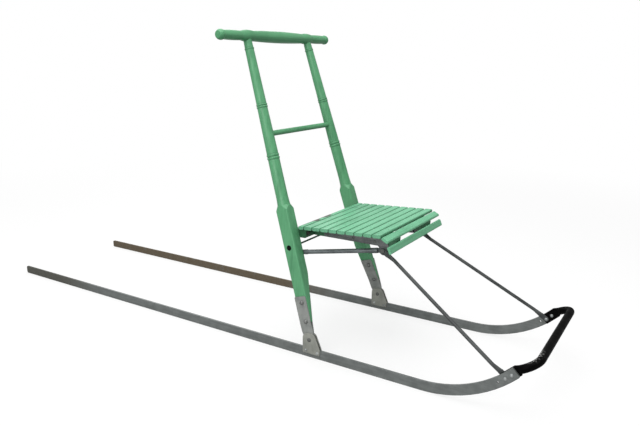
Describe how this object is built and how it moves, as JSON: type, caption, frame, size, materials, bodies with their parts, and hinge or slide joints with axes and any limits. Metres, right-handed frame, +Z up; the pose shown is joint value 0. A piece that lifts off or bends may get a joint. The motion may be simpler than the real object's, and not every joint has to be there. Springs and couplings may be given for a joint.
{
  "type": "kick sled",
  "caption": "Kick sled with steel runners, a bent nose bar, a slatted seat on steel stays and turned wooden posts that carry a handlebar.",
  "frame": {"origin": "on the ground, midway between the runners and at the middle of the overall length", "axes": "+X forward to the nose bar, +Y to the sled's left, +Z up"},
  "size_m": [1.9466, 0.54, 0.8969],
  "materials": {
    "runner_steel": "dull grey, lightly rusted",
    "nose_black": "glossy black coating, speckled with wear",
    "green_wood": "green painted turned wood",
    "seat_wood": "green painted slats",
    "zinc_plate": "dull zinc",
    "zinc_fastener": "zinc",
    "rail_steel": "dull grey",
    "rod_steel": "dull grey",
    "dark_steel": "dark grey coating"
  },
  "bodies": {
    "root": {"bracket_inner_left": "zinc_plate", "bracket_inner_right": "zinc_plate", "bracket_outer_left": "zinc_plate", "bracket_outer_right": "zinc_plate", "diagonal_stay_left": "dark_steel", "diagonal_stay_right": "dark_steel", "foot_pin_left": "zinc_fastener", "foot_pin_right": "zinc_fastener", "handlebar": "green_wood", "level_rod_left": "rod_steel", "level_rod_right": "rod_steel", "nose_bar": "nose_black", "post_left": "green_wood", "post_right": "green_wood", "rung": "green_wood", "runner_left": "runner_steel", "runner_right": "runner_steel", "seat_bolt_left": "zinc_fastener", "seat_bolt_right": "zinc_fastener", "seat_cleat_left": "seat_wood", "seat_cleat_right": "seat_wood", "seat_cross_rail": "seat_wood", "side_rail_left": "rail_steel", "side_rail_right": "rail_steel", "slat_01": "seat_wood", "slat_02": "seat_wood", "slat_03": "seat_wood", "slat_04": "seat_wood", "slat_05": "seat_wood", "slat_06": "seat_wood", "slat_07": "seat_wood", "slat_08": "seat_wood", "slat_09": "seat_wood", "slat_10": "seat_wood", "slat_11": "seat_wood", "slat_12": "seat_wood", "strap_inner_left": "zinc_plate", "strap_inner_right": "zinc_plate", "strap_outer_left": "zinc_plate", "strap_outer_right": "zinc_plate", "tie_rod": "dark_steel"}
  },
  "joints": []
}
